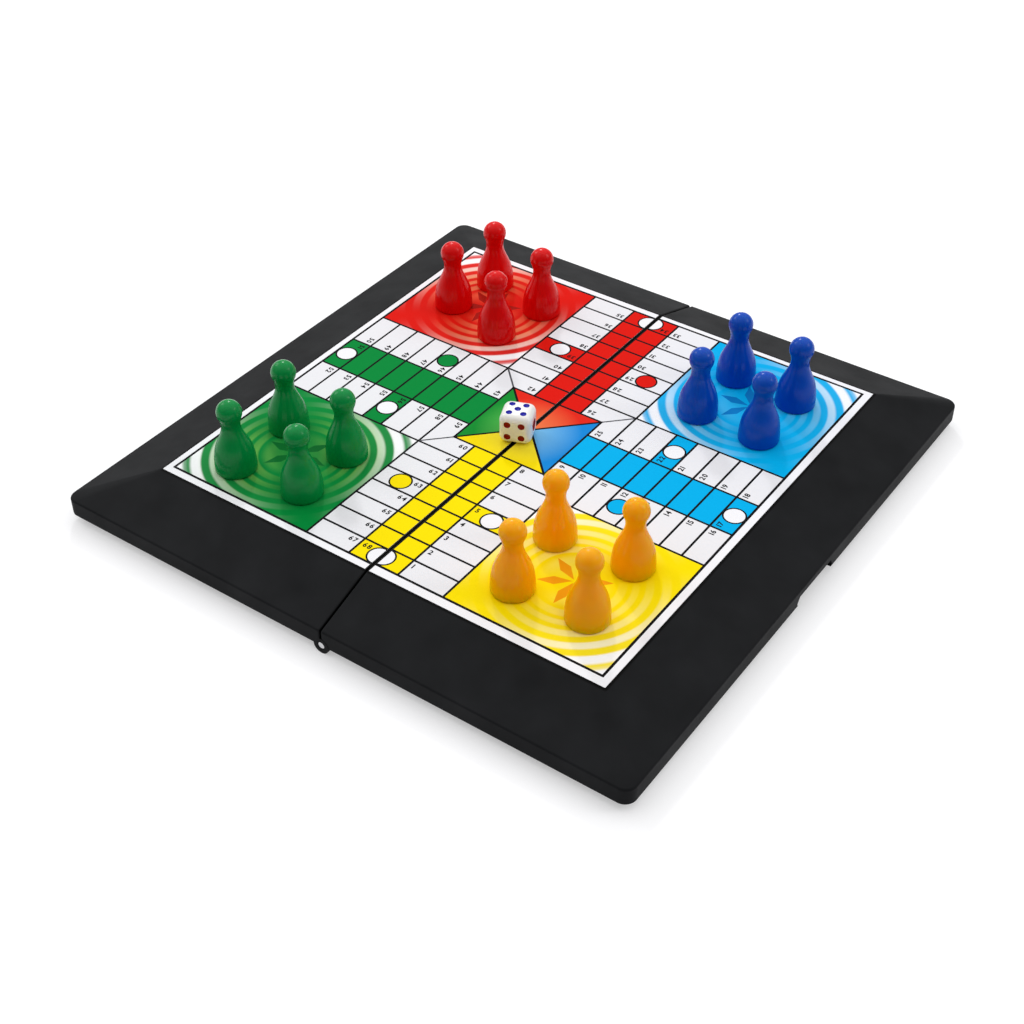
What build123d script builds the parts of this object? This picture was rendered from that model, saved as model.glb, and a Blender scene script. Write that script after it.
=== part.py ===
"""Folding magnetic ludo set: two hinged board halves, sixteen pawns and a die.

Millimetres, +Z up. The origin is on the table, under the middle of the open board.
X runs across the hinge, with the left half at -X. Y runs along the hinge.
"""
from build123d import *
from math import atan, cos, radians, sin, tan
import os

# Board
BOARD_SIDE = 250.0
PRINT_SIDE = 197.0
LIP_WIDTH = 0.4
RIM_WALL_HEIGHT = 6.75
SLOPE_RISE = 8.75
WALL = 2.0
CORNER_RADIUS = 4.5
DECK_CORNER_RADIUS = 0.8
CREASE_RADIUS = 0.9
SPLIT_CORNER_RADIUS = 0.8

# The halves meet on the plane x = 0 when open, and rim to rim when closed
SPLIT_GAP = 0.5
CENTRE_BAND = 1.9

# Sheets that lie in the top of each half
STEEL_THICKNESS = 0.3
PRINT_THICKNESS = 0.25
SHEET_CLEARANCE = 0.1

# Hinge
KNUCKLE_RADIUS = 3.3
KNUCKLE_LENGTH = 8.0
KNUCKLES_PER_HINGE = 3
KNUCKLE_CLEARANCE = 0.3
PIN_RADIUS = 1.5
PIN_CLEARANCE = 0.05
PIN_RECESS = 0.2
PIN_DOME = 0.3

# Thumb notch in the right half's outer wall
NOTCH_RIM_WIDTH = 28.0
NOTCH_TOP_WIDTH = 24.0
NOTCH_HEIGHT = 3.7
NOTCH_CORNER_RADIUS = 0.8

# Push-in feet
FOOT_RADIUS = 4.0
FOOT_STEM_RADIUS = 2.0
FOOT_STEM_LENGTH = 5.0
FOOT_CLEARANCE = 0.05
FOOT_EDGE_RADIUS = 0.6
FOOT_INSET = 13.0
FOOT_SPACING = {"left": 176.0, "right": 144.0}
BOSS_RADIUS = 4.6

# Pawns
PAWN_HEIGHT = 30.6
PAWN_BASE_RADIUS = 8.0
PAWN_BASE_EDGE = 0.9
PAWN_SHOULDER_RADIUS = 6.6
PAWN_SHOULDER_Z = 11.2
PAWN_NECK_RADIUS = 3.7
PAWN_NECK_Z = 19.0
PAWN_HEAD_RADIUS = 4.85
PAWN_COLLAR_ANGLE = 24.0
MAGNET_RADIUS = 3.0
MAGNET_THICKNESS = 2.0
MAGNET_CLEARANCE = 0.05

# Middle of a home square, from the middle of the board, as a share of the print's side
HOME_CENTRE = 0.317
HOME_SIGNS = {"red": (-1, 1), "green": (-1, -1), "blue": (1, 1), "yellow": (1, -1)}
# Where the four pawns stand, from the middle of their home
PAWN_PLACES = {
    "red": [(-14.4, -7.8), (-9.6, 15.9), (19.1, 9.6), (14.1, -16.2)],
    "green": [(-14.5, 10.9), (-13.9, -19.6), (15.6, 9.7), (16.1, -16.6)],
    "blue": [(-14.1, 14.1), (-14.5, -15.7), (13.4, 12.5), (12.8, -16.1)],
    "yellow": [(-18.1, 15.3), (-15.2, -14.8), (12.8, 18.2), (13.9, -12.5)],
}

# Die
DIE_SIDE = 12.7
DIE_EDGE_RADIUS = 3.0
DIE_PLACE = (-1.4, -5.1)
DIE_TURN = 22.0

# Heights worked out from the sizes above
HALF_SIDE = BOARD_SIDE / 2
AXIS_Z = KNUCKLE_RADIUS
RIM_Z = AXIS_Z + SPLIT_GAP / 2
CREASE_Z = RIM_Z + RIM_WALL_HEIGHT
DECK_Z = CREASE_Z + SLOPE_RISE
DECK_SIDE = PRINT_SIDE + 2 * LIP_WIDTH
SLOPE_RUN = (BOARD_SIDE - DECK_SIDE) / 2
SLOPE_ANGLE = atan(SLOPE_RISE / SLOPE_RUN)
RECESS_FLOOR_Z = DECK_Z - STEEL_THICKNESS - PRINT_THICKNESS
SHEET_MIDDLE_EDGE = CENTRE_BAND / 2
DIRECTION = {"left": -1, "right": 1}
OUT_OF_THE_WAY = 10.0

os.makedirs("parts", exist_ok=True)


def save(piece, name):
    """Label one finished piece and write it to its own file."""
    piece.part.label = name
    export_step(piece.part, f"parts/{name}.step")


def board_form(inset, bottom_z):
    """Add the whole board's outer form, made smaller by an inset measured square to each face."""
    crease_z = CREASE_Z - inset * (1 - sin(SLOPE_ANGLE)) / cos(SLOPE_ANGLE)
    top_z = DECK_Z - inset
    top_run = SLOPE_RUN + inset * (1 / cos(SLOPE_ANGLE) - 1) / tan(SLOPE_ANGLE)
    side = BOARD_SIDE - 2 * inset
    corner = CORNER_RADIUS - inset
    top_side = BOARD_SIDE - 2 * top_run
    with BuildSketch(Plane.XY.offset(bottom_z)) as bottom:
        RectangleRounded(side, side, corner)
    with BuildSketch(Plane.XY.offset(crease_z)) as middle:
        RectangleRounded(side, side, corner)
    with BuildSketch(Plane.XY.offset(top_z)) as top:
        RectangleRounded(top_side, top_side, DECK_CORNER_RADIUS)
    extrude(bottom.sketch, amount=crease_z - bottom_z)
    loft([middle.sketch, top.sketch], ruled=True)


def split_plane(direction, distance):
    """The plane at a distance from the middle of the hinge, facing the half's outer edge."""
    return Plane(origin=(direction * distance, 0, 0), z_dir=(direction, 0, 0))


def foot_places(side_name):
    """The middles of one half's feet."""
    x = DIRECTION[side_name] * (HALF_SIDE - FOOT_INSET)
    half_spacing = FOOT_SPACING[side_name] / 2
    return {"front": (x, -half_spacing), "back": (x, half_spacing)}


def knuckle_spans(side_name):
    """The low and high y of each knuckle that belongs to one half.

    Counted inwards from each end of the board, the odd ones are the left half's.
    """
    spans = []
    pitch = KNUCKLE_LENGTH + KNUCKLE_CLEARANCE
    for number in range(KNUCKLES_PER_HINGE):
        owner = "left" if number % 2 == 0 else "right"
        if owner != side_name:
            continue
        outer = HALF_SIDE - number * pitch
        spans.append((-outer, -outer + KNUCKLE_LENGTH))
        spans.append((outer - KNUCKLE_LENGTH, outer))
    return spans


def hinge_rod(radius, low, high, mode=Mode.ADD):
    """Add or cut a round bar on the hinge axis, between two values of y."""
    with BuildSketch(Plane.XZ.offset(-high)) as round_end:
        with Locations((0, AXIS_Z)):
            Circle(radius)
    extrude(round_end.sketch, amount=high - low, mode=mode)


# The hollow under each half, with the bosses for its feet left standing
hollows = {}
for side_name, direction in DIRECTION.items():
    with BuildPart() as hollow:
        board_form(WALL, RIM_Z - OUT_OF_THE_WAY)
        split(bisect_by=split_plane(direction, SPLIT_GAP / 2 + WALL), keep=Keep.TOP)
        with BuildSketch(Plane.XY.offset(RIM_Z)):
            with Locations(*foot_places(side_name).values()):
                Circle(BOSS_RADIUS)
        extrude(amount=DECK_Z - RIM_Z, mode=Mode.SUBTRACT)
    hollows[side_name] = hollow.part

# Trays: deck, sloping borders, outer walls, hinge knuckles and bosses in one moulding
recess_edge = DECK_SIDE / 2 - LIP_WIDTH + SHEET_CLEARANCE
recess_start = SHEET_MIDDLE_EDGE - SHEET_CLEARANCE
for side_name, direction in DIRECTION.items():
    other_name = "right" if side_name == "left" else "left"
    with BuildPart() as tray:
        board_form(0, RIM_Z)
        crease = tray.edges().filter_by(lambda e: abs(e.center().Z - CREASE_Z) < 0.01)
        fillet(crease, CREASE_RADIUS)
        split(bisect_by=split_plane(direction, SPLIT_GAP / 2), keep=Keep.TOP)
        corners = tray.edges().filter_by(Axis.Z).filter_by(lambda e: abs(e.center().X) < SPLIT_GAP)
        fillet(corners, SPLIT_CORNER_RADIUS)
        add(hollows[side_name], mode=Mode.SUBTRACT)
        with BuildSketch(Plane.XY.offset(RECESS_FLOOR_Z)):
            with Locations((direction * (recess_start + recess_edge) / 2, 0)):
                Rectangle(recess_edge - recess_start, 2 * recess_edge)
        extrude(amount=OUT_OF_THE_WAY, mode=Mode.SUBTRACT)
        for low, high in knuckle_spans(other_name):
            relief = KNUCKLE_RADIUS + KNUCKLE_CLEARANCE
            hinge_rod(relief, low - KNUCKLE_CLEARANCE, high + KNUCKLE_CLEARANCE, Mode.SUBTRACT)
        for low, high in knuckle_spans(side_name):
            hinge_rod(KNUCKLE_RADIUS, low, high)
        hinge_rod(PIN_RADIUS + PIN_CLEARANCE, -HALF_SIDE, HALF_SIDE, Mode.SUBTRACT)
        with BuildSketch(Plane.XY.offset(RIM_Z)):
            with Locations(*foot_places(side_name).values()):
                Circle(FOOT_STEM_RADIUS + FOOT_CLEARANCE)
        extrude(amount=FOOT_STEM_LENGTH + FOOT_CLEARANCE, mode=Mode.SUBTRACT)
        if side_name == "right":
            with BuildSketch(Plane.YZ.offset(HALF_SIDE - WALL - OUT_OF_THE_WAY / 2)) as notch:
                with BuildLine():
                    Polyline(
                        (-NOTCH_RIM_WIDTH / 2, RIM_Z),
                        (-NOTCH_TOP_WIDTH / 2, RIM_Z + NOTCH_HEIGHT),
                        (NOTCH_TOP_WIDTH / 2, RIM_Z + NOTCH_HEIGHT),
                        (NOTCH_RIM_WIDTH / 2, RIM_Z),
                        close=True,
                    )
                make_face()
                fillet(notch.vertices().group_by(Axis.Z)[-1], NOTCH_CORNER_RADIUS)
            extrude(amount=OUT_OF_THE_WAY, mode=Mode.SUBTRACT)
    save(tray, f"tray_{side_name}")

# Steel and print sheets, laid one on the other in the recess of each half
for side_name, direction in DIRECTION.items():
    layers = {
        "steel_sheet": (RECESS_FLOOR_Z, STEEL_THICKNESS),
        "print_sheet": (RECESS_FLOOR_Z + STEEL_THICKNESS, PRINT_THICKNESS),
    }
    sheet_width = PRINT_SIDE / 2 - SHEET_MIDDLE_EDGE
    for layer_name, (bottom_z, thickness) in layers.items():
        with BuildPart() as sheet:
            with BuildSketch(Plane.XY.offset(bottom_z)):
                with Locations((direction * (SHEET_MIDDLE_EDGE + sheet_width / 2), 0)):
                    Rectangle(sheet_width, PRINT_SIDE)
            extrude(amount=thickness)
        save(sheet, f"{layer_name}_{side_name}")

# Hinge pins, one through the three knuckles at each end of the board
hinge_length = KNUCKLES_PER_HINGE * (KNUCKLE_LENGTH + KNUCKLE_CLEARANCE) - KNUCKLE_CLEARANCE
pin_outer = HALF_SIDE - PIN_RECESS
pin_inner = HALF_SIDE - hinge_length + PIN_RECESS
for end_name, low, high in (("front", -pin_outer, -pin_inner), ("back", pin_inner, pin_outer)):
    with BuildPart() as pin:
        hinge_rod(PIN_RADIUS, low, high)
        fillet(pin.edges().filter_by(GeomType.CIRCLE), PIN_DOME)
    save(pin, f"hinge_pin_{end_name}")

# Push-in rubber feet
for side_name in DIRECTION:
    for end_name, place in foot_places(side_name).items():
        with BuildPart() as foot:
            with BuildSketch(Plane.XY):
                with Locations(place):
                    Circle(FOOT_RADIUS)
            extrude(amount=RIM_Z)
            fillet(foot.edges().filter_by(GeomType.CIRCLE).sort_by(Axis.Z)[0], FOOT_EDGE_RADIUS)
            with BuildSketch(Plane.XY.offset(RIM_Z)):
                with Locations(place):
                    Circle(FOOT_STEM_RADIUS)
            extrude(amount=FOOT_STEM_LENGTH)
        save(foot, f"foot_{side_name}_{end_name}")

# One pawn and one magnet at the origin, copied to every place
head_z = PAWN_HEIGHT - PAWN_HEAD_RADIUS
collar = radians(PAWN_COLLAR_ANGLE)
collar_point = (PAWN_HEAD_RADIUS * cos(collar), head_z - PAWN_HEAD_RADIUS * sin(collar))
pocket_depth = MAGNET_THICKNESS + 2 * MAGNET_CLEARANCE
with BuildPart() as pawn_form:
    with BuildSketch(Plane.XZ):
        with BuildLine():
            Line((0, 0), (PAWN_BASE_RADIUS - PAWN_BASE_EDGE, 0))
            RadiusArc(
                (PAWN_BASE_RADIUS - PAWN_BASE_EDGE, 0),
                (PAWN_BASE_RADIUS, PAWN_BASE_EDGE),
                -PAWN_BASE_EDGE,
            )
            Spline(
                (PAWN_BASE_RADIUS, PAWN_BASE_EDGE),
                (PAWN_SHOULDER_RADIUS, PAWN_SHOULDER_Z),
                (PAWN_NECK_RADIUS, PAWN_NECK_Z),
                collar_point,
                tangents=[(0, 1), (sin(collar), cos(collar))],
            )
            ThreePointArc(collar_point, (PAWN_HEAD_RADIUS, head_z), (0, PAWN_HEIGHT))
            Line((0, PAWN_HEIGHT), (0, 0))
        make_face()
    revolve(axis=Axis.Z)
    with BuildSketch(Plane.XY):
        Circle(MAGNET_RADIUS + MAGNET_CLEARANCE)
    extrude(amount=pocket_depth, mode=Mode.SUBTRACT)

with BuildPart() as magnet_form:
    with BuildSketch(Plane.XY.offset(MAGNET_CLEARANCE)):
        Circle(MAGNET_RADIUS)
    extrude(amount=MAGNET_THICKNESS)

for colour, places in PAWN_PLACES.items():
    for number, (across, along) in enumerate(places, start=1):
        home_x = HOME_SIGNS[colour][0] * HOME_CENTRE * PRINT_SIDE
        home_y = HOME_SIGNS[colour][1] * HOME_CENTRE * PRINT_SIDE
        stand = (home_x + across, home_y + along, DECK_Z)
        with BuildPart() as pawn:
            with Locations(stand):
                add(pawn_form.part)
        save(pawn, f"pawn_{colour}_{number}")
        with BuildPart() as magnet:
            with Locations(stand):
                add(magnet_form.part)
        save(magnet, f"magnet_{colour}_{number}")

# Die, standing on the middle of the board
with BuildPart() as die:
    with Locations(Location((*DIE_PLACE, DECK_Z + DIE_SIDE / 2), (0, 0, DIE_TURN))):
        Box(DIE_SIDE, DIE_SIDE, DIE_SIDE)
    fillet(die.edges(), DIE_EDGE_RADIUS)
save(die, "die")
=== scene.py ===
"""Looks for a folding magnetic ludo set: a black moulded case, its printed board, sixteen pawns and a die.

Metres, +Z up, in the case's own frame: the origin is on the table, under the middle of the open board.
The left half lies at -X and the right half at +X, and the hinge runs along Y.
"""
from math import acos, cos, pi, radians, sin

import bmesh
import bpy
import numpy as np
from bpy.props import FloatProperty, FloatVectorProperty, PointerProperty
from mathutils import Matrix, Vector
from mathutils.geometry import delaunay_2d_cdt


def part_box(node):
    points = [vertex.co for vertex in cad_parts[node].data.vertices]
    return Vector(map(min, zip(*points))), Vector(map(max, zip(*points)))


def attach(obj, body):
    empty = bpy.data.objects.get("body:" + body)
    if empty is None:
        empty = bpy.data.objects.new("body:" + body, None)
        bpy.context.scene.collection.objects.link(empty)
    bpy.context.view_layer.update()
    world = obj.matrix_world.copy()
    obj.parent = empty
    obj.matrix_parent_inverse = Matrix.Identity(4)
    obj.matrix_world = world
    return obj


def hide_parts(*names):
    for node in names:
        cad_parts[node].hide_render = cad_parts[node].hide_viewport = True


bl_info = {
    "name": "Folding ludo set",
    "version": (1, 0, 0),
    "blender": (4, 5, 0),
    "location": "3D View > Sidebar > Ludo",
    "description": "Prints, finishes and stages a folding ludo set with sixteen pawns and a die",
    "category": "Object",
}

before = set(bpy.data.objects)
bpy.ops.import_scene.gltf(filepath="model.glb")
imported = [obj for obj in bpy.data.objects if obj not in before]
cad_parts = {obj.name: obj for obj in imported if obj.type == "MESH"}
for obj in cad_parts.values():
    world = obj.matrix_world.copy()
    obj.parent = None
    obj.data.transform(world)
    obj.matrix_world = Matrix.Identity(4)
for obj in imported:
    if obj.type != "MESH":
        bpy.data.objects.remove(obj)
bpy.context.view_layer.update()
MM = 0.001
SIDES = ("left", "right")
# The players whose arms follow one another, a quarter turn each, from the front arm
PLAYERS = ("yellow", "blue", "red", "green")
HOME_SIDE = {"yellow": "right", "blue": "right", "red": "left", "green": "left"}
CELLS_IN_A_COLUMN = 8
CELLS_ROUND_THE_BOARD = 68
START_CELL = 5
DISC_STEPS = 64
PETALS = 6
# How far a number's outline is moved outwards, as a share of the letter size
BOLDER = 0.035
# The gap between a number's digits, as a share of their height
DIGIT_SPACE = 0.17


def linear(code):
    """Turn an sRGB hex colour into linear red, green, blue and alpha."""
    parts = [int(code[i:i + 2], 16) / 255 for i in (1, 3, 5)]
    return [c / 12.92 if c <= 0.04045 else ((c + 0.055) / 1.055) ** 2.4 for c in parts] + [1.0]


def length(name, description, millimetres):
    """A length that the user can change, given in millimetres and kept in metres."""
    return FloatProperty(name=name, description=description, default=millimetres * MM, min=0,
                         unit="LENGTH", subtype="DISTANCE", precision=5)


def colour(name, description, code):
    """A colour that the user can change, given as sRGB hex and kept linear."""
    return FloatVectorProperty(name=name, description=description, default=linear(code), size=4,
                               min=0, max=1, subtype="COLOR")


class LUDO_PG_print(bpy.types.PropertyGroup):
    """Sizes of the printed playing surface, before it is cut in two."""
    frame_half: length("Frame", "From the middle to the middle of the frame line", 95.2)
    home_half: length("Home edge", "From the middle to the homes' inner edges", 29.7)
    finish_half: length("Finish", "From the middle to the finish square's edges", 19.9)
    run_half: length("Run", "Half the width of the coloured run to the finish", 9.85)
    cell_pitch: length("Cell", "From one cell line to the next", 9.36)
    frame_line: length("Frame line", "Width of the line round the board", 1.05)
    cell_line: length("Cell line", "Width of the lines between cells", 0.92)
    disc_radius: length("Disc", "Radius of the round marks", 4.6)
    disc_line: length("Disc line", "Width of the line round a mark", 0.66)
    digit_height: length("Digit height", "Height of the cell numbers", 2.4)
    digit_gap: length("Digit gap", "From a number to the lines beside it", 1.05)
    petal_length: length("Petal length", "From a home's middle to the tip of a petal", 13.5)
    petal_width: length("Petal width", "Width of a petal at its widest", 4.2)
    art_scale: FloatProperty(name="Scale across", default=0.9916, min=0.5, max=1.5,
                             description="How much the print is drawn in across the hinge")
    left_shift: FloatVectorProperty(name="Left shift", description="Where the left sheet's print lies",
                                    default=(-1.25 * MM, 0.0), size=2, unit="LENGTH")
    right_shift: FloatVectorProperty(name="Right shift", description="Where the right sheet's print lies",
                                     default=(0.65 * MM, 0.7 * MM), size=2, unit="LENGTH")


class LUDO_PG_colours(bpy.types.PropertyGroup):
    """Colours of the inks and the plastics."""
    case: colour("Case", "Black plastic of the case", "#202123")
    paper: colour("Margin", "Bare paper round the print", "#F2F2F6")
    cell: colour("Cell", "Pale tint of the cells", "#E9E9ED")
    line: colour("Line", "Black ink of the lines and numbers", "#141416")
    corner: colour("Corner line", "Grey ink of the lines across the corner cells", "#55555A")
    ink_red: colour("Red ink", "Red of the print", "#DC180E")
    ink_green: colour("Green ink", "Green of the print", "#02873A")
    ink_yellow: colour("Yellow ink", "Yellow of the print", "#FAE200")
    ink_blue: colour("Blue ink", "Blue of the print", "#00AFEA")
    petal_red: colour("Red petals", "Petals in the red home", "#A81C14")
    petal_green: colour("Green petals", "Petals in the green home", "#0F6E2E")
    petal_yellow: colour("Yellow petals", "Petals in the yellow home", "#F0A010")
    petal_blue: colour("Blue petals", "Petals in the blue home", "#0B7CC4")
    ripple_red: colour("Red ripples", "Pale tint of the ripples in the red home", "#F6B37C")
    ripple_green: colour("Green ripples", "Pale tint of the ripples in the green home", "#94CE5C")
    ripple_yellow: colour("Yellow ripples", "Pale tint of the ripples in the yellow home", "#FFF9A8")
    ripple_blue: colour("Blue ripples", "Pale tint of the ripples in the blue home", "#7FD2F4")
    finish_red: colour("Red finish", "Red finish triangle, next to the middle", "#EF8450")
    finish_green: colour("Green finish", "Green finish triangle, next to the middle", "#66C45A")
    finish_yellow: colour("Yellow finish", "Yellow finish triangle, next to the middle", "#F6E54A")
    finish_blue: colour("Blue finish", "Blue finish triangle, next to the middle", "#84C6EC")
    edge_red: colour("Red finish edge", "Red finish triangle, at its edge", "#E0281A")
    edge_green: colour("Green finish edge", "Green finish triangle, at its edge", "#148C32")
    edge_yellow: colour("Yellow finish edge", "Yellow finish triangle, at its edge", "#F6DC0C")
    edge_blue: colour("Blue finish edge", "Blue finish triangle, at its edge", "#1686D6")
    pawn_red: colour("Red pawns", "Plastic of the red pawns", "#E20406")
    pawn_green: colour("Green pawns", "Plastic of the green pawns", "#008C42")
    pawn_blue: colour("Blue pawns", "Plastic of the blue pawns", "#024BBA")
    pawn_yellow: colour("Yellow pawns", "Plastic of the yellow pawns", "#FFAE02")
    die: colour("Die", "White plastic of the die", "#F4F3EF")
    pip_blue: colour("Blue pips", "Paint in the die's blue pips", "#06069C")
    pip_red: colour("Red pips", "Paint in the die's red pips", "#8A0404")


def add_node(tree, kind, values=None, links=None, **settings):
    """Add one node, with its settings, the values of its inputs and the links into them."""
    node = tree.nodes.new(kind)
    for name, value in settings.items():
        setattr(node, name, value)
    for socket, value in (values or {}).items():
        node.inputs[socket].default_value = value
    for socket, source in (links or {}).items():
        tree.links.new(source, node.inputs[socket])
    return node


def darker(shade, share):
    """A colour with a share of its light left."""
    return [c * share for c in shade[:3]] + [1.0]


def surface(name, shade, mottle, depth, roughness, grain, height, stretch=(1, 1, 1), pattern=None, **shader):
    """Make one material.

    A soft mottle, its size in millimetres, darkens the shade by its depth and moves the roughness between
    its two ends. A finer grain, its size and height in millimetres, roughens the surface. A pattern, if given,
    makes the colour that the mottle then darkens. What is left over is set on the shader itself.
    """
    material = bpy.data.materials.new(name)
    material.use_nodes = True
    material.diffuse_color = shade
    tree = material.node_tree
    tree.nodes.clear()
    place = add_node(tree, "ShaderNodeTexCoord").outputs["Object"]
    drawn = add_node(tree, "ShaderNodeMapping", {"Scale": stretch}, {"Vector": place}).outputs["Vector"]
    cloud = add_node(tree, "ShaderNodeTexNoise", {"Scale": 1 / (mottle * MM), "Detail": 3.0},
                     {"Vector": drawn}).outputs["Fac"]
    if pattern:
        light = add_node(tree, "ShaderNodeMapRange", {"To Min": 1.0, "To Max": 1.0 - depth},
                         {"Value": cloud}).outputs["Result"]
        tone = add_node(tree, "ShaderNodeVectorMath", None, {0: pattern(tree, place), "Scale": light},
                        operation="SCALE").outputs["Vector"]
    else:
        tone = add_node(tree, "ShaderNodeMix", {"A": shade, "B": darker(shade, 1 - depth)},
                        {"Factor": cloud}, data_type="RGBA").outputs["Result"]
    spread = add_node(tree, "ShaderNodeMapRange", {"To Min": roughness[0], "To Max": roughness[1]},
                      {"Value": cloud}).outputs["Result"]
    grit = add_node(tree, "ShaderNodeTexNoise", {"Scale": 1 / (grain * MM), "Detail": 2.0},
                    {"Vector": drawn}).outputs["Fac"]
    relief = add_node(tree, "ShaderNodeBump", {"Strength": 1.0, "Distance": height * MM},
                      {"Height": grit}).outputs["Normal"]
    body = add_node(tree, "ShaderNodeBsdfPrincipled", shader,
                    {"Base Color": tone, "Roughness": spread, "Normal": relief})
    add_node(tree, "ShaderNodeOutputMaterial", None, {"Surface": body.outputs["BSDF"]})
    return material


def in_view(tree):
    """One for a ray that shows the backdrop: straight from the camera, or by way of gloss or glass."""
    path = add_node(tree, "ShaderNodeLightPath").outputs
    shown = add_node(tree, "ShaderNodeMath", None, {0: path["Is Camera Ray"], 1: path["Is Glossy Ray"]},
                     operation="MAXIMUM").outputs["Value"]
    return add_node(tree, "ShaderNodeMath", None, {0: shown, 1: path["Is Transmission Ray"]},
                    operation="MAXIMUM").outputs["Value"]


def mesh_piece(name, corners, faces, materials, inks=None):
    """Make an object of its corners and faces, with a material for each face."""
    mesh = bpy.data.meshes.new(name)
    mesh.from_pydata(corners, [], faces)
    for material in materials:
        mesh.materials.append(material)
    if inks is not None:
        mesh.polygons.foreach_set("material_index", inks)
    mesh.update()
    piece = bpy.data.objects.new(name, mesh)
    bpy.context.scene.collection.objects.link(piece)
    return piece


def finish_nodes(names, material):
    """Give CAD nodes their material."""
    for name in names:
        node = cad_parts[name]
        for slot in node.material_slots:
            slot.material = material


class LUDO_OT_case(bpy.types.Operator):
    """Finish the two case halves, the hinge pins, the steel sheets and the feet"""
    bl_idname = "ludo.case"
    bl_label = "Case and hinge"

    def execute(self, context):
        colours = context.scene.ludo_colours
        # ABS moulded against spark-eroded steel: a black satin skin with a fine, even grain. The real grain
        # is about 0.1 mm, and is drawn coarser so that it shows
        # Its pattern paints shade: dull black along the split and on the deck's top edges
        abs_plastic = surface("Spark_eroded_black_ABS", colours.case, 16, 0.6, (0.42, 0.6), 0.35, 0.012,
                              pattern=self.bare_edges(colours.case),
                              **{"IOR": 1.53, "Specular IOR Level": 0.05})
        finish_nodes([f"tray_{side}" for side in SIDES], abs_plastic)
        # Cold-rolled tinplate: faint rolling lines along the sheet
        tinplate = surface("Cold_rolled_tinplate", linear("#B8B9BB"), 6, 0.1, (0.28, 0.4), 0.5, 0.004,
                           stretch=(1, 0.05, 1), **{"Metallic": 1.0})
        finish_nodes([f"steel_sheet_{side}" for side in SIDES], tinplate)
        # Nickel-plated wire, cut to length: bright, with fine drawing lines along it
        pin_steel = surface("Drawn_nickel_plated_steel", linear("#DCDCDE"), 3, 0.06, (0.16, 0.26), 0.3,
                            0.003, stretch=(1, 0.08, 1), **{"Metallic": 1.0})
        finish_nodes([f"hinge_pin_{end}" for end in ("front", "back")], pin_steel)
        # Compression-moulded rubber: dull, nearly black, with a slight bloom
        rubber = surface("Moulded_black_rubber", linear("#222224"), 2, 0.25, (0.75, 0.9), 0.25, 0.02,
                         **{"IOR": 1.52, "Specular IOR Level": 0.3})
        finish_nodes([f"foot_{side}_{end}" for side in SIDES for end in ("front", "back")], rubber)
        return {"FINISHED"}

    @staticmethod
    def bare_edges(shade):
        """The shade with painted shade: dull black along the split and on the deck's thin top edges, where the
        gap lies in shade.
        """
        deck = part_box("tray_left")[1].z
        painted_shade = darker(shade, 0.1)
        band, blend = 0.4 * MM, 0.15 * MM

        def pattern(tree, place):
            parts = add_node(tree, "ShaderNodeSeparateXYZ", None, {"Vector": place}).outputs
            away = add_node(tree, "ShaderNodeMath", None, {0: parts["X"]},
                            operation="ABSOLUTE").outputs["Value"]
            split = add_node(tree, "ShaderNodeMapRange",
                             {"From Min": band, "From Max": band + blend, "To Min": 1.0, "To Max": 0.0},
                             {"Value": away}).outputs["Result"]
            top = add_node(tree, "ShaderNodeMapRange",
                           {"From Min": deck - 2 * blend, "From Max": deck - blend},
                           {"Value": parts["Z"]}).outputs["Result"]
            shade_mask = add_node(tree, "ShaderNodeMath", None, {0: split, 1: top},
                              operation="MAXIMUM").outputs["Value"]
            # Painted shade: the case colour darkened to a tenth in both bands
            return add_node(tree, "ShaderNodeMix", {"A": shade, "B": painted_shade}, {"Factor": shade_mask},
                            data_type="RGBA").outputs["Result"]

        return pattern


def turned(points, quarter_turns):
    """Turn points about the middle of the board, anticlockwise."""
    for _ in range(quarter_turns % 4):
        points = [(-y, x) for x, y in points]
    return points


def box(x0, y0, x1, y1):
    """The outline of a rectangle, anticlockwise."""
    return [(x0, y0), (x1, y0), (x1, y1), (x0, y1)]


def ring(x, y, radius):
    """The outline of a disc, anticlockwise."""
    steps = [2 * pi * i / DISC_STEPS for i in range(DISC_STEPS)]
    return [(x + radius * cos(a), y + radius * sin(a)) for a in steps]


def bar(start, end, width):
    """The outline of a straight line of some width, squared off at its ends."""
    a, b = Vector(start), Vector(end)
    along = (b - a).normalized() * width / 2
    side = Vector((along.y, -along.x))
    return [tuple(p) for p in (a - along + side, b + along + side, b + along - side, a - along - side)]


def digit_outlines():
    """Each digit as flat triangles, its height 1, and its width."""
    digits = {}
    for sign in "0123456789":
        curve = bpy.data.curves.new("digit", "FONT")
        curve.body = sign
        curve.resolution_u = 3
        curve.fill_mode = "FRONT"
        curve.offset = BOLDER
        letter = bpy.data.objects.new("digit", curve)
        mesh = bpy.data.meshes.new_from_object(letter)
        tall = max(v.co.y for v in mesh.vertices) - min(v.co.y for v in mesh.vertices)
        left = min(v.co.x for v in mesh.vertices)
        low = min(v.co.y for v in mesh.vertices)
        points = [((v.co.x - left) / tall, (v.co.y - low) / tall) for v in mesh.vertices]
        faces = [list(p.vertices) for p in mesh.polygons]
        digits[sign] = (points, faces, max(x for x, _ in points))
        bpy.data.objects.remove(letter)
        bpy.data.curves.remove(curve)
        bpy.data.meshes.remove(mesh)
    return digits


def number_outlines(digits, number, x, top, height, from_right):
    """A number whose top left corner, or top right corner, is at a point."""
    signs = [digits[sign] for sign in str(number)]
    wide = sum(d[2] for d in signs) + DIGIT_SPACE * (len(signs) - 1)
    start = x - wide * height if from_right else x
    outlines = []
    for points, faces, width in signs:
        placed = [(start + px * height, top - height + py * height) for px, py in points]
        outlines += [[placed[i] for i in face] for face in faces]
        start += (width + DIGIT_SPACE) * height
    return outlines


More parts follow.
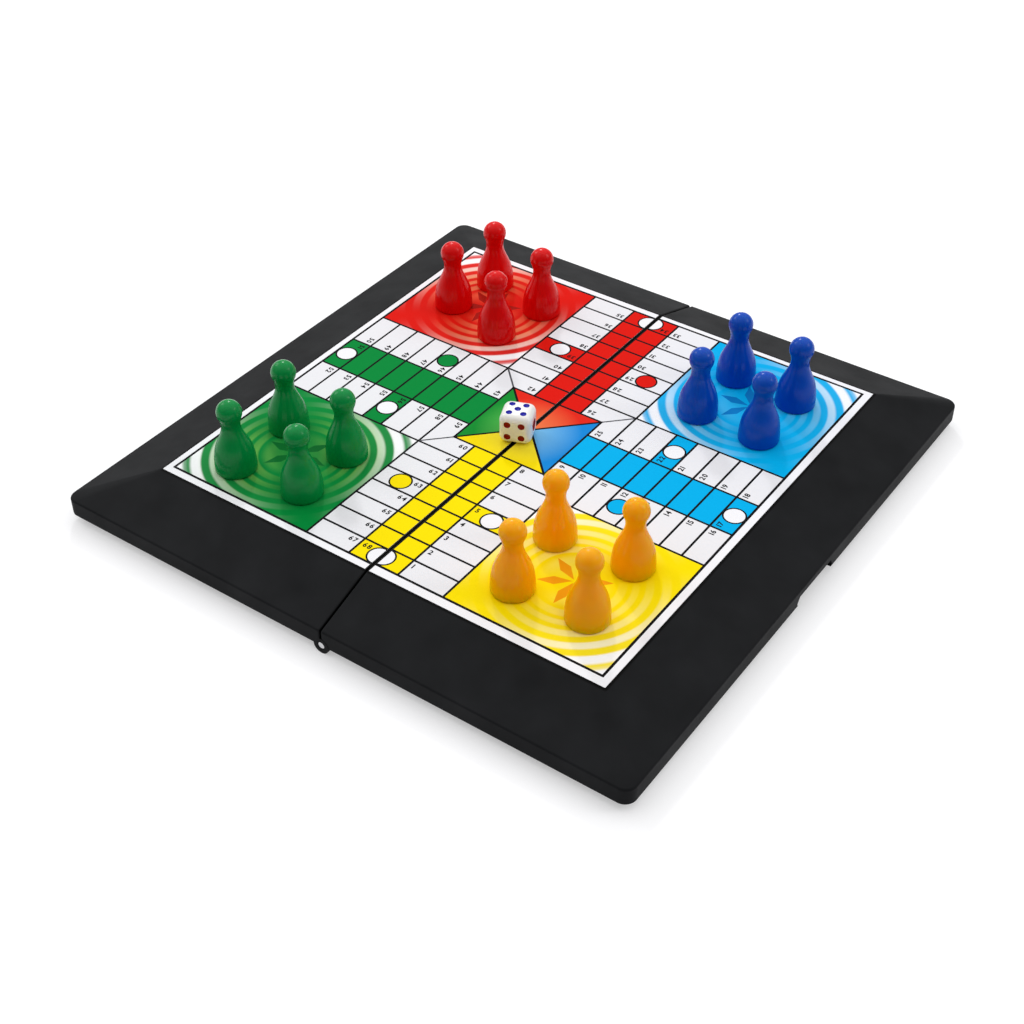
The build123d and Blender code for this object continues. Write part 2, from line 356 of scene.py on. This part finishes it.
def printed_shapes(sizes):
    """Every shape of the unsplit print, as its ink and its outline, with the later ones on top."""
    digits = digit_outlines()
    out, home, finish, run = sizes.frame_half, sizes.home_half, sizes.finish_half, sizes.run_half
    pitch, radius, inside = sizes.cell_pitch, sizes.disc_radius, sizes.disc_radius - sizes.disc_line
    column = (home + run) / 2
    start_y = -(out - (START_CELL - 0.5) * pitch)
    fills, marks, lines = [], [], []
    for turn, player in enumerate(PLAYERS):
        def put(where, ink, outline):
            where.append((ink, turned(outline, turn)))

        put(fills, f"home_{player}", box(home, -out, out, -home))
        middle = (home + out) / 2
        centre = Vector((middle, -middle))
        for petal in range(PETALS):
            angle = radians(30 + 360 / PETALS * petal)
            tip = Vector((cos(angle), sin(angle))) * sizes.petal_length
            side = Vector((-sin(angle), cos(angle))) * sizes.petal_width / 2
            root, wide = tip * 0.06, tip * 0.55
            put(fills, f"petal_{player}", [tuple(centre + p) for p in (root, wide - side, tip, wide + side)])
        put(fills, f"ink_{player}", box(-run, -out, run, -finish))
        put(fills, f"ink_{player}", box(run, start_y - pitch / 2, home, start_y + pitch / 2))
        put(fills, f"finish_{player}", [(0, 0), (-finish, -finish), (finish, -finish)])
        for row in range(1, CELLS_IN_A_COLUMN):
            put(lines, "line", bar((-home, -out + row * pitch), (home, -out + row * pitch), sizes.cell_line))
        put(lines, "corner", bar((home, -home), (finish, -finish), sizes.cell_line * 0.8))
        for x in (-home, home):
            put(lines, "line", bar((x, -out), (x, -home), sizes.cell_line))
        for x in (-run, run):
            put(lines, "line", bar((x, -out), (x, -finish), sizes.cell_line))
        put(lines, "line", bar((-finish, -finish), (finish, -finish), sizes.cell_line))
        put(lines, "line", bar((0, 0), (finish, -finish), sizes.cell_line))
        put(lines, "line", bar((-out, -out), (out, -out), sizes.frame_line))
        for x, y, ink in ((column, start_y, "paper"), (-column, start_y, f"ink_{player}"),
                          (0, -out + pitch / 2, "paper")):
            put(marks, "line", ring(x, y, radius))
            put(marks, ink, ring(x, y, inside))
        gap, tall = sizes.digit_gap + sizes.cell_line / 2, sizes.digit_height
        first = turn * (CELLS_ROUND_THE_BOARD // 4)
        for row in range(CELLS_IN_A_COLUMN):
            top = -out + (row + 1) * pitch - gap
            right = row + 1 + first
            left = (CELLS_ROUND_THE_BOARD - 1 - row + first - 1) % CELLS_ROUND_THE_BOARD + 1
            numbers = [(right, run + gap, False), (left, -run - gap, True)]
            if row == 0:
                last = (CELLS_ROUND_THE_BOARD + first - 1) % CELLS_ROUND_THE_BOARD + 1
                numbers.append((last, -run + gap, False))
            for number, x, from_right in numbers:
                for outline in number_outlines(digits, number, x, top, tall, from_right):
                    put(marks, "line", outline)
    field = [("cell", box(-out, -out, out, out))]
    return field + fills + lines + marks


def on_board(sizes, side, point):
    """Where a point of the unsplit print lies on one half."""
    shift = sizes.left_shift if side == "left" else sizes.right_shift
    return Vector((point[0] * sizes.art_scale + shift[0], point[1] + shift[1]))


def inside(points, outline):
    """Which of the points lie inside an outline that bulges outwards all round and runs anticlockwise."""
    within = np.ones(len(points), bool)
    for a, b in zip(outline, outline[1:] + outline[:1]):
        within &= (b[0] - a[0]) * (points[:, 1] - a[1]) - (b[1] - a[1]) * (points[:, 0] - a[0]) > 0
    return within


def cut_up(sheet, outlines):
    """Cut a sheet along every outline, and name each triangle's topmost outline, with 0 for the bare sheet.

    It works in millimetres, because the cutting merges points that lie closer than a ten-thousandth.
    """
    points, edges = [], []
    for outline in [sheet] + outlines:
        start, count = len(points), len(outline)
        points += [Vector((p[0] / MM, p[1] / MM)) for p in outline]
        edges += [(start + i, start + (i + 1) % count) for i in range(count)]
    corners, _, triangles, _, _, _ = delaunay_2d_cdt(points, edges, [], 0, 1e-4, False)
    corners = [c * MM for c in corners]
    places = np.array(corners)
    middles = places[np.array(triangles)].mean(axis=1)
    top = np.full(len(triangles), -1)
    for number, outline in enumerate([sheet] + outlines):
        low, high = np.min(outline, axis=0), np.max(outline, axis=0)
        near = np.flatnonzero(((middles > low) & (middles < high)).all(axis=1))
        top[near[inside(middles[near], list(outline))]] = number
    on_sheet = inside(middles, list(sheet))
    kept = np.flatnonzero(on_sheet)
    return corners, [triangles[i] for i in kept], [int(top[i]) for i in kept]


def slab(corners, triangles, low, high):
    """The corners and faces of a flat slab whose top is cut into triangles, with its sides and bottom."""
    used = sorted({i for t in triangles for i in t})
    new = {old: i for i, old in enumerate(used)}
    points = [(corners[i].x, corners[i].y, high) for i in used]
    faces = [[new[i] for i in t] for t in triangles]
    edges = {(f[i], f[(i + 1) % 3]) for f in faces for i in range(3)}
    rim = [(a, b) for a, b in edges if (b, a) not in edges]
    under = {}
    for a, _ in sorted(rim):
        under[a] = len(points)
        points.append((points[a][0], points[a][1], low))
    middle = len(points)
    count = len(under)
    points.append((sum(points[i][0] for i in under) / count, sum(points[i][1] for i in under) / count, low))
    for a, b in sorted(rim):
        faces.append([under[a], under[b], b, a])
        faces.append([under[b], under[a], middle])
    return points, faces


class LUDO_OT_prints(bpy.types.Operator):
    """Print the playing surface and lay one sheet of it in each half"""
    bl_idname = "ludo.prints"
    bl_label = "Printed sheets"

    def execute(self, context):
        sizes, colours = context.scene.ludo_print, context.scene.ludo_colours
        shapes = printed_shapes(sizes)
        inks = sorted({ink for ink, _ in shapes} | {"paper"})
        materials = [self.ink(sizes, colours, ink) for ink in inks]
        for side in SIDES:
            low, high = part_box(f"print_sheet_{side}")
            sheet = box(low.x, low.y, high.x, high.y)
            placed = []
            for ink, outline in shapes:
                points = [on_board(sizes, side, p) for p in outline]
                if min(p.x for p in points) < high.x and max(p.x for p in points) > low.x:
                    placed.append((ink, points))
            corners, triangles, tops = cut_up(sheet, [points for _, points in placed])
            points, faces = slab(corners, triangles, low.z, high.z)
            names = ["paper"] + [ink for ink, _ in placed]
            slots = [inks.index(names[top]) for top in tops]
            slots += [inks.index("paper")] * (len(faces) - len(slots))
            piece = mesh_piece(f"printed_surface_{side}", points, faces, materials, slots)
            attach(piece, f"{side}_half")
            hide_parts(f"print_sheet_{side}")
        return {"FINISHED"}

    def ink(self, sizes, colours, name):
        """Offset ink on coated paper under a matt clear film: even, with the film's faint tooth."""
        kind, _, player = name.partition("_")
        if kind == "home":
            shade = getattr(colours, f"ink_{player}")
            pattern = self.ripples(sizes, colours, player)
        elif kind == "finish":
            shade = getattr(colours, f"edge_{player}")
            pattern = self.fade(sizes, shade, getattr(colours, name))
        else:
            shade, pattern = getattr(colours, name), None
        # The film's tooth is finer than 0.1 mm, and is drawn at 0.4 mm so that it shows
        return surface(f"Offset_print_{name}", shade, 1.2, 0.05, (0.6, 0.68), 0.4, 0.003, pattern=pattern,
                       **{"IOR": 1.5, "Specular IOR Level": 0.03})

    def ripples(self, sizes, colours, player):
        """Rings round a home's middle, strongest along the board's diagonal and paler further out."""
        turn = PLAYERS.index(player)
        half = (sizes.home_half + sizes.frame_half) / 2
        spot = turned([(half, -half)], turn)[0]
        centre = on_board(sizes, HOME_SIDE[player], spot)
        slant = Vector(spot).normalized()
        base = getattr(colours, f"ink_{player}")
        pale = getattr(colours, f"ripple_{player}")
        # The ramp's end, and where the rings turn from the pale tint to white
        reach, tinted, whitened = 50 * MM, 24 * MM, 38 * MM
        narrowing = 2.2

        def pattern(tree, place):
            away = add_node(tree, "ShaderNodeVectorMath", {1: (centre.x, centre.y, 0)}, {0: place},
                            operation="SUBTRACT").outputs["Vector"]
            flat = add_node(tree, "ShaderNodeVectorMath", {1: (1, 1, 0)}, {0: away},
                            operation="MULTIPLY").outputs["Vector"]
            far = add_node(tree, "ShaderNodeVectorMath", None, {0: flat},
                           operation="LENGTH").outputs["Value"]
            share = add_node(tree, "ShaderNodeMath", {1: reach}, {0: far},
                             operation="DIVIDE").outputs["Value"]
            way = add_node(tree, "ShaderNodeVectorMath", None, {0: flat},
                           operation="NORMALIZE").outputs["Vector"]
            lined = add_node(tree, "ShaderNodeVectorMath", {1: (slant.x, slant.y, 0)}, {0: way},
                             operation="DOT_PRODUCT").outputs["Value"]
            both = add_node(tree, "ShaderNodeMath", None, {0: lined}, operation="ABSOLUTE").outputs["Value"]
            swell = add_node(tree, "ShaderNodeMath", {1: narrowing}, {0: both},
                             operation="POWER").outputs["Value"]
            rings = add_node(tree, "ShaderNodeValToRGB", None, {"Fac": share})
            self.fill_ramp(rings.color_ramp, RIPPLE_STOPS, reach)
            amount = add_node(tree, "ShaderNodeMath", None, {0: rings.outputs["Color"], 1: swell},
                              operation="MULTIPLY", use_clamp=True).outputs["Value"]
            white = add_node(tree, "ShaderNodeMapRange",
                             {"From Min": tinted / reach, "From Max": whitened / reach},
                             {"Value": share}).outputs["Result"]
            crest = add_node(tree, "ShaderNodeMix", {"A": pale, "B": linear("#FBFBFD")}, {"Factor": white},
                             data_type="RGBA").outputs["Result"]
            return add_node(tree, "ShaderNodeMix", {"A": base}, {"B": crest, "Factor": amount},
                            data_type="RGBA").outputs["Result"]

        return pattern

    @staticmethod
    def fill_ramp(ramp, stops, reach):
        """Set a ramp's grey levels at distances in millimetres."""
        ramp.interpolation = "EASE"
        while len(ramp.elements) < len(stops):
            ramp.elements.new(0.5)
        for element, (distance, level) in zip(ramp.elements, stops):
            element.position = distance * MM / reach
            element.color = (level, level, level, 1)

    @staticmethod
    def fade(sizes, edge, near):
        """From one colour at the middle of the board to another just past the finish square's edge."""
        reach = 1.05 * sizes.finish_half

        def pattern(tree, place):
            flat = add_node(tree, "ShaderNodeVectorMath", {1: (1, 1, 0)}, {0: place},
                            operation="MULTIPLY").outputs["Vector"]
            far = add_node(tree, "ShaderNodeVectorMath", None, {0: flat},
                           operation="LENGTH").outputs["Value"]
            share = add_node(tree, "ShaderNodeMapRange", {"From Min": 0.0, "From Max": reach},
                             {"Value": far}).outputs["Result"]
            return add_node(tree, "ShaderNodeMix", {"A": near, "B": edge}, {"Factor": share},
                            data_type="RGBA").outputs["Result"]

        return pattern


# Distance from a home's middle in millimetres, and how strong the ripple is there
RIPPLE_STOPS = (
    (0, 0.0), (7, 0.1), (11, 0.22), (14.6, 0.0), (15.6, 0.42), (17.6, 0.36), (18.6, 0.0), (19.6, 0.02),
    (20.4, 0.55), (21.9, 0.45), (22.8, 0.02), (24.2, 0.02), (25, 0.68), (26.8, 0.6), (27.8, 0.02),
    (29.8, 0.02), (30.6, 0.85), (32.6, 0.8), (33.8, 0.02), (36, 0.02), (37, 1.0), (39.6, 0.95), (41.2, 0.05),
    (42.4, 0.2), (44, 1.0),
)


class LUDO_OT_pawns(bpy.types.Operator):
    """Finish the sixteen pawns and their magnets"""
    bl_idname = "ludo.pawns"
    bl_label = "Pawns"

    def execute(self, context):
        colours = context.scene.ludo_colours
        # Ferrite disc, ground flat: dark grey, faintly metallic
        ferrite = surface("Ground_ferrite", linear("#4A4A4E"), 1, 0.3, (0.4, 0.6), 0.15, 0.01,
                          **{"Metallic": 0.6})
        for player in PLAYERS:
            # Polystyrene from a polished mould: glossy, with the faint waves of a shrinking surface. The
            # yellow lets the most light through
            shade = getattr(colours, f"pawn_{player}")
            through, depth = (0.9, 12 * MM) if player == "yellow" else (0.15, 6 * MM)
            plastic = surface(f"Polished_polystyrene_{player}", shade, 9, 0.08, (0.18, 0.26), 3.5, 0.02,
                              **{"IOR": 1.55, "Specular IOR Level": 0.15, "Subsurface Weight": through,
                                 "Subsurface Radius": (1.0, 0.3, 0.1), "Subsurface Scale": depth})
            finish_nodes([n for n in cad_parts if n.startswith(f"pawn_{player}_")], plastic)
            finish_nodes([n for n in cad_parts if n.startswith(f"magnet_{player}_")], ferrite)
        return {"FINISHED"}


# Pips of each face: the face's outward direction, its colour, the radius and depth of a pip in millimetres,
# and the places of the pips as shares of the spacing
DIE_FACES = (
    ((0, 0, 1), "blue", 1.3, 0.36, ((0, 0), (1, 1), (1, -1), (-1, 1), (-1, -1))),
    ((0, 0, -1), "blue", 1.35, 0.4, ((1, 1), (-1, -1))),
    ((0, -1, 0), "red", 1.42, 0.42, ((1, 1), (1, -1), (-1, 1), (-1, -1))),
    ((0, 1, 0), "blue", 1.35, 0.4, ((0, 0), (1, 1), (-1, -1))),
    ((1, 0, 0), "red", 2.5, 0.65, ((0, 0),)),
    ((-1, 0, 0), "blue", 1.22, 0.36, ((1, 1), (1, 0), (1, -1), (-1, 1), (-1, 0), (-1, -1))),
)


class LUDO_PG_die(bpy.types.PropertyGroup):
    """Sizes of the die."""
    edge_radius: length("Edge radius", "Radius of the die's edges and corners", 3.0)
    pip_spacing: length("Pip spacing", "From the middle of a face to its outer pips", 2.8)
    turn: FloatProperty(name="Turn", description="How far the die is turned on the board",
                        default=radians(22), subtype="ANGLE")


class LUDO_OT_die(bpy.types.Operator):
    """Make the rounded die with its painted hollows"""
    bl_idname = "ludo.die"
    bl_label = "Die"

    def execute(self, context):
        colours, sizes = context.scene.ludo_colours, context.scene.ludo_die
        low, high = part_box("die")
        side = high.z - low.z
        stand = Matrix.Translation((low + high) / 2) @ Matrix.Rotation(sizes.turn, 4, "Z")
        pits = self.pits(side, sizes.pip_spacing)
        mesh = self.body(side, sizes.edge_radius)
        body = bpy.data.objects.new("die_white", mesh)
        context.scene.collection.objects.link(body)
        tool = self.cutter(pits, side)
        cut = body.modifiers.new("hollows", "BOOLEAN")
        cut.operation = "DIFFERENCE"
        cut.solver = "MANIFOLD"
        cut.object = tool
        evaluated = body.evaluated_get(context.evaluated_depsgraph_get())
        carved = bpy.data.meshes.new_from_object(evaluated)
        body.modifiers.clear()
        body.data = carved
        bpy.data.objects.remove(tool)
        bpy.data.meshes.remove(mesh)
        carved.materials.clear()
        # Urea resin polished by tumbling: bright white, and a little light passes through its edges
        white = surface("Tumbled_white_urea", colours.die, 4, 0.03, (0.16, 0.24), 2, 0.006,
                        **{"IOR": 1.55, "Subsurface Weight": 0.15, "Subsurface Radius": (1.0, 0.9, 0.8),
                           "Subsurface Scale": 1.5 * MM})
        # Enamel flowed into the hollows: full colour, with a soft gloss
        enamel = {"IOR": 1.5, "Specular IOR Level": 0.15}
        blue = surface("Flowed_enamel_blue", colours.pip_blue, 1, 0.1, (0.3, 0.4), 0.6, 0.004, **enamel)
        red = surface("Flowed_enamel_red", colours.pip_red, 1, 0.1, (0.3, 0.4), 0.6, 0.004, **enamel)
        for material in (white, blue, red):
            carved.materials.append(material)
        for face in carved.polygons:
            face.use_smooth = True
            face.material_index = self.paint(face.center, pits)
        carved.set_sharp_from_angle(angle=radians(25))
        body.matrix_world = stand
        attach(body, "die_body")
        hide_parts("die")
        return {"FINISHED"}

    @staticmethod
    def body(side, radius):
        """A cube of fine squares whose edges and corners are drawn in to a radius."""
        squares = 36
        shape = bmesh.new()
        bmesh.ops.create_cube(shape, size=side)
        bmesh.ops.subdivide_edges(shape, edges=shape.edges, cuts=squares - 1, use_grid_fill=True)
        flat = side / 2 - radius
        for corner in shape.verts:
            inner = Vector([max(-flat, min(flat, c)) for c in corner.co])
            out = corner.co - inner
            if sum(abs(c) > 1e-9 for c in out) > 1:
                corner.co = inner + out.normalized() * radius
        mesh = bpy.data.meshes.new("die_white")
        shape.to_mesh(mesh)
        shape.free()
        return mesh

    @staticmethod
    def pits(side, spacing):
        """Each hollow as the middle and radius of the ball that cuts it, and its paint."""
        found = []
        for out, paint, radius, depth, places in DIE_FACES:
            normal = Vector(out)
            across = Vector((normal.y, normal.z, normal.x))
            along = normal.cross(across)
            ball = (radius ** 2 + depth ** 2) / (2 * depth) * MM
            for a, b in places:
                middle = normal * (side / 2 + ball - depth * MM) + (across * a + along * b) * spacing
                found.append((middle, ball, paint))
        return found

    @staticmethod
    def cutter(pits, side):
        """The bowls that cut the hollows, in one mesh. Each is the part of a ball that dips into the die."""
        proud, steps, rings = 0.25 * MM, 48, 9
        shape = bmesh.new()
        for middle, ball, _ in pits:
            out = max((Vector(face[0]) for face in DIE_FACES), key=lambda n: n.dot(middle))
            across = out.orthogonal().normalized()
            along = out.cross(across)
            widest = acos((middle.dot(out) - side / 2 - proud) / ball)
            pole = shape.verts.new(middle - out * ball)
            last = [pole] * steps
            for number in range(1, rings + 1):
                dip = widest * number / rings
                level = middle - out * ball * cos(dip)
                here = []
                for step in range(steps):
                    angle = 2 * pi * step / steps
                    spoke = (across * cos(angle) + along * sin(angle)) * ball * sin(dip)
                    here.append(shape.verts.new(level + spoke))
                for i in range(steps):
                    j = (i + 1) % steps
                    around = [last[i], last[j], here[j], here[i]] if number > 1 else [pole, here[j], here[i]]
                    shape.faces.new(around)
                last = here
            shape.faces.new(last)
        bmesh.ops.recalc_face_normals(shape, faces=shape.faces)
        mesh = bpy.data.meshes.new("cutter")
        shape.to_mesh(mesh)
        shape.free()
        tool = bpy.data.objects.new("cutter", mesh)
        bpy.context.scene.collection.objects.link(tool)
        bpy.context.view_layer.update()
        return tool

    @staticmethod
    def paint(point, pits):
        """The material's place for a face: 0 for the bare plastic, 1 for blue, 2 for red."""
        slack = 1.0005
        for middle, ball, paint in pits:
            if (point - middle).length < ball * slack:
                return 1 if paint == "blue" else 2
        return 0


# Each lamp's name, its place, its side in metres and its power in watts
LAMPS = (
    ("back_lamp", (-1.1, 1.2, 1.3), 0.16, 8),
    ("right_lamp", (1.5, 0.9, 1.4), 0.6, 5),
    ("left_lamp", (-1.75, 0.1, 1.2), 0.6, 5),
)


class LUDO_OT_stage(bpy.types.Operator):
    """Lay the pale floor, set the soft lamps and place the camera"""
    bl_idname = "ludo.stage"
    bl_label = "Stage"

    def execute(self, context):
        scene = context.scene
        self.floor()
        self.sky(scene)
        for name, place, side, watts in LAMPS:
            self.lamp(name, place, side, watts)
        self.camera(scene)
        scene.view_settings.view_transform = "Standard"
        return {"FINISHED"}

    @staticmethod
    def floor():
        """A wide plane just under the feet, with a little light of its own when it is in view."""
        reach, drop, own_light = 4.0, -0.05 * MM, 0.4
        corners = [(x, y, drop) for x, y in box(-reach, -reach, reach, reach)]
        # Matt white laminate: no gloss, so that it stays an even white
        white = surface("Matt_white_laminate", linear("#D4D4D6"), 300, 0.01, (0.9, 1.0), 40, 0.001,
                        **{"Specular IOR Level": 0.1})
        tree = white.node_tree
        output = next(node for node in tree.nodes if node.type == "OUTPUT_MATERIAL")
        painted = output.inputs["Surface"].links[0].from_socket
        lift = add_node(tree, "ShaderNodeMath", {1: own_light}, {0: in_view(tree)}, operation="MULTIPLY")
        glow = add_node(tree, "ShaderNodeEmission", None, {"Strength": lift.outputs["Value"]})
        both = add_node(tree, "ShaderNodeAddShader", None, {0: painted, 1: glow.outputs["Emission"]})
        tree.links.new(both.outputs["Shader"], output.inputs["Surface"])
        plane = mesh_piece("floor", corners, [(0, 1, 2, 3)], [white])

    @staticmethod
    def sky(scene):
        """A soft light, strongest overhead and weakest from the front, with a white backdrop in view."""
        horizon, zenith = 0.22, 1.32
        # The way towards the picture's near side, and the share of the light that comes from there
        front, front_share = (0.578, -0.816, 0), 0.3
        world = bpy.data.worlds.new("Soft_box")
        world.use_nodes = True
        tree = world.node_tree
        tree.nodes.clear()
        way = add_node(tree, "ShaderNodeTexCoord").outputs["Generated"]
        high = add_node(tree, "ShaderNodeSeparateXYZ", None, {"Vector": way}).outputs["Z"]
        dim = add_node(tree, "ShaderNodeMapRange",
                       {"From Min": 0.0, "From Max": 0.9, "To Min": horizon, "To Max": zenith},
                       {"Value": high}, interpolation_type="SMOOTHSTEP").outputs["Result"]
        ahead = add_node(tree, "ShaderNodeVectorMath", {1: front}, {0: way},
                         operation="DOT_PRODUCT").outputs["Value"]
        shade = add_node(tree, "ShaderNodeMapRange",
                         {"From Min": 0.0, "From Max": 0.8, "To Min": 1.0, "To Max": front_share},
                         {"Value": ahead}, interpolation_type="SMOOTHSTEP").outputs["Result"]
        soft = add_node(tree, "ShaderNodeMath", None, {0: dim, 1: shade},
                        operation="MULTIPLY").outputs["Value"]
        low = add_node(tree, "ShaderNodeMapRange",
                       {"From Min": 0.02, "From Max": 0.15, "To Min": 1.0, "To Max": 0.0},
                       {"Value": high}, interpolation_type="SMOOTHSTEP").outputs["Result"]
        mirrored = add_node(tree, "ShaderNodeMath", None, {0: in_view(tree), 1: low},
                            operation="MULTIPLY").outputs["Value"]
        camera = add_node(tree, "ShaderNodeLightPath").outputs["Is Camera Ray"]
        backdrop = add_node(tree, "ShaderNodeMath", None, {0: mirrored, 1: camera},
                            operation="MAXIMUM").outputs["Value"]
        tone = add_node(tree, "ShaderNodeMix", {"B": (1, 1, 1, 1)}, {"A": soft, "Factor": backdrop},
                        data_type="RGBA").outputs["Result"]
        light = add_node(tree, "ShaderNodeBackground", None, {"Color": tone})
        add_node(tree, "ShaderNodeOutputWorld", None, {"Surface": light.outputs["Background"]})
        scene.world = world

    @staticmethod
    def lamp(name, place, side, watts):
        """A square soft lamp that faces the middle of the board."""
        light = bpy.data.lights.new(name, "AREA")
        light.size = side
        light.energy = watts
        lamp = bpy.data.objects.new(name, light)
        lamp.location = place
        lamp.rotation_euler = (-Vector(place)).to_track_quat("-Z", "Y").to_euler()
        bpy.context.scene.collection.objects.link(lamp)

    @staticmethod
    def camera(scene):
        """The camera at the picture's viewing angle."""
        across = Vector((0.81667, 0.57711, -0.00166))
        down = Vector((0.36937, -0.52490, -0.76684))
        ahead = Vector((-0.44342, 0.62564, -0.64183))
        lens = bpy.data.cameras.new("picture_view")
        lens.lens = 56.78
        lens.sensor_width = 36.0
        lens.clip_start = 0.01
        camera = bpy.data.objects.new("picture_view", lens)
        turn = Matrix((across, -down, -ahead)).transposed().to_4x4()
        camera.matrix_world = Matrix.Translation((0.28328, -0.41072, 0.39542)) @ turn
        scene.collection.objects.link(camera)
        scene.camera = camera


class LUDO_PT_panel(bpy.types.Panel):
    """The set's pieces, in the order that they are made"""
    bl_idname = "LUDO_PT_panel"
    bl_label = "Folding ludo set"
    bl_space_type = "VIEW_3D"
    bl_region_type = "UI"
    bl_category = "Ludo"

    def draw(self, context):
        for operator in OPERATORS:
            self.layout.operator(operator.bl_idname)
        for group in (context.scene.ludo_print, context.scene.ludo_die, context.scene.ludo_colours):
            part = self.layout.column()
            for name in group.bl_rna.properties.keys():
                if name not in ("rna_type", "name"):
                    part.prop(group, name)


GROUPS = {"ludo_print": LUDO_PG_print, "ludo_colours": LUDO_PG_colours, "ludo_die": LUDO_PG_die}
OPERATORS = (LUDO_OT_case, LUDO_OT_prints, LUDO_OT_pawns, LUDO_OT_die, LUDO_OT_stage)


def register():
    for group in GROUPS.values():
        bpy.utils.register_class(group)
    for name, group in GROUPS.items():
        setattr(bpy.types.Scene, name, PointerProperty(type=group))
    for operator in OPERATORS:
        bpy.utils.register_class(operator)
    bpy.utils.register_class(LUDO_PT_panel)


def unregister():
    bpy.utils.unregister_class(LUDO_PT_panel)
    for operator in reversed(OPERATORS):
        bpy.utils.unregister_class(operator)
    for name in GROUPS:
        delattr(bpy.types.Scene, name)
    for group in GROUPS.values():
        bpy.utils.unregister_class(group)


def main():
    register()
    bpy.ops.ludo.case()
    bpy.ops.ludo.prints()
    bpy.ops.ludo.pawns()
    bpy.ops.ludo.die()
    bpy.ops.ludo.stage()


if __name__ == "__main__":
    main()
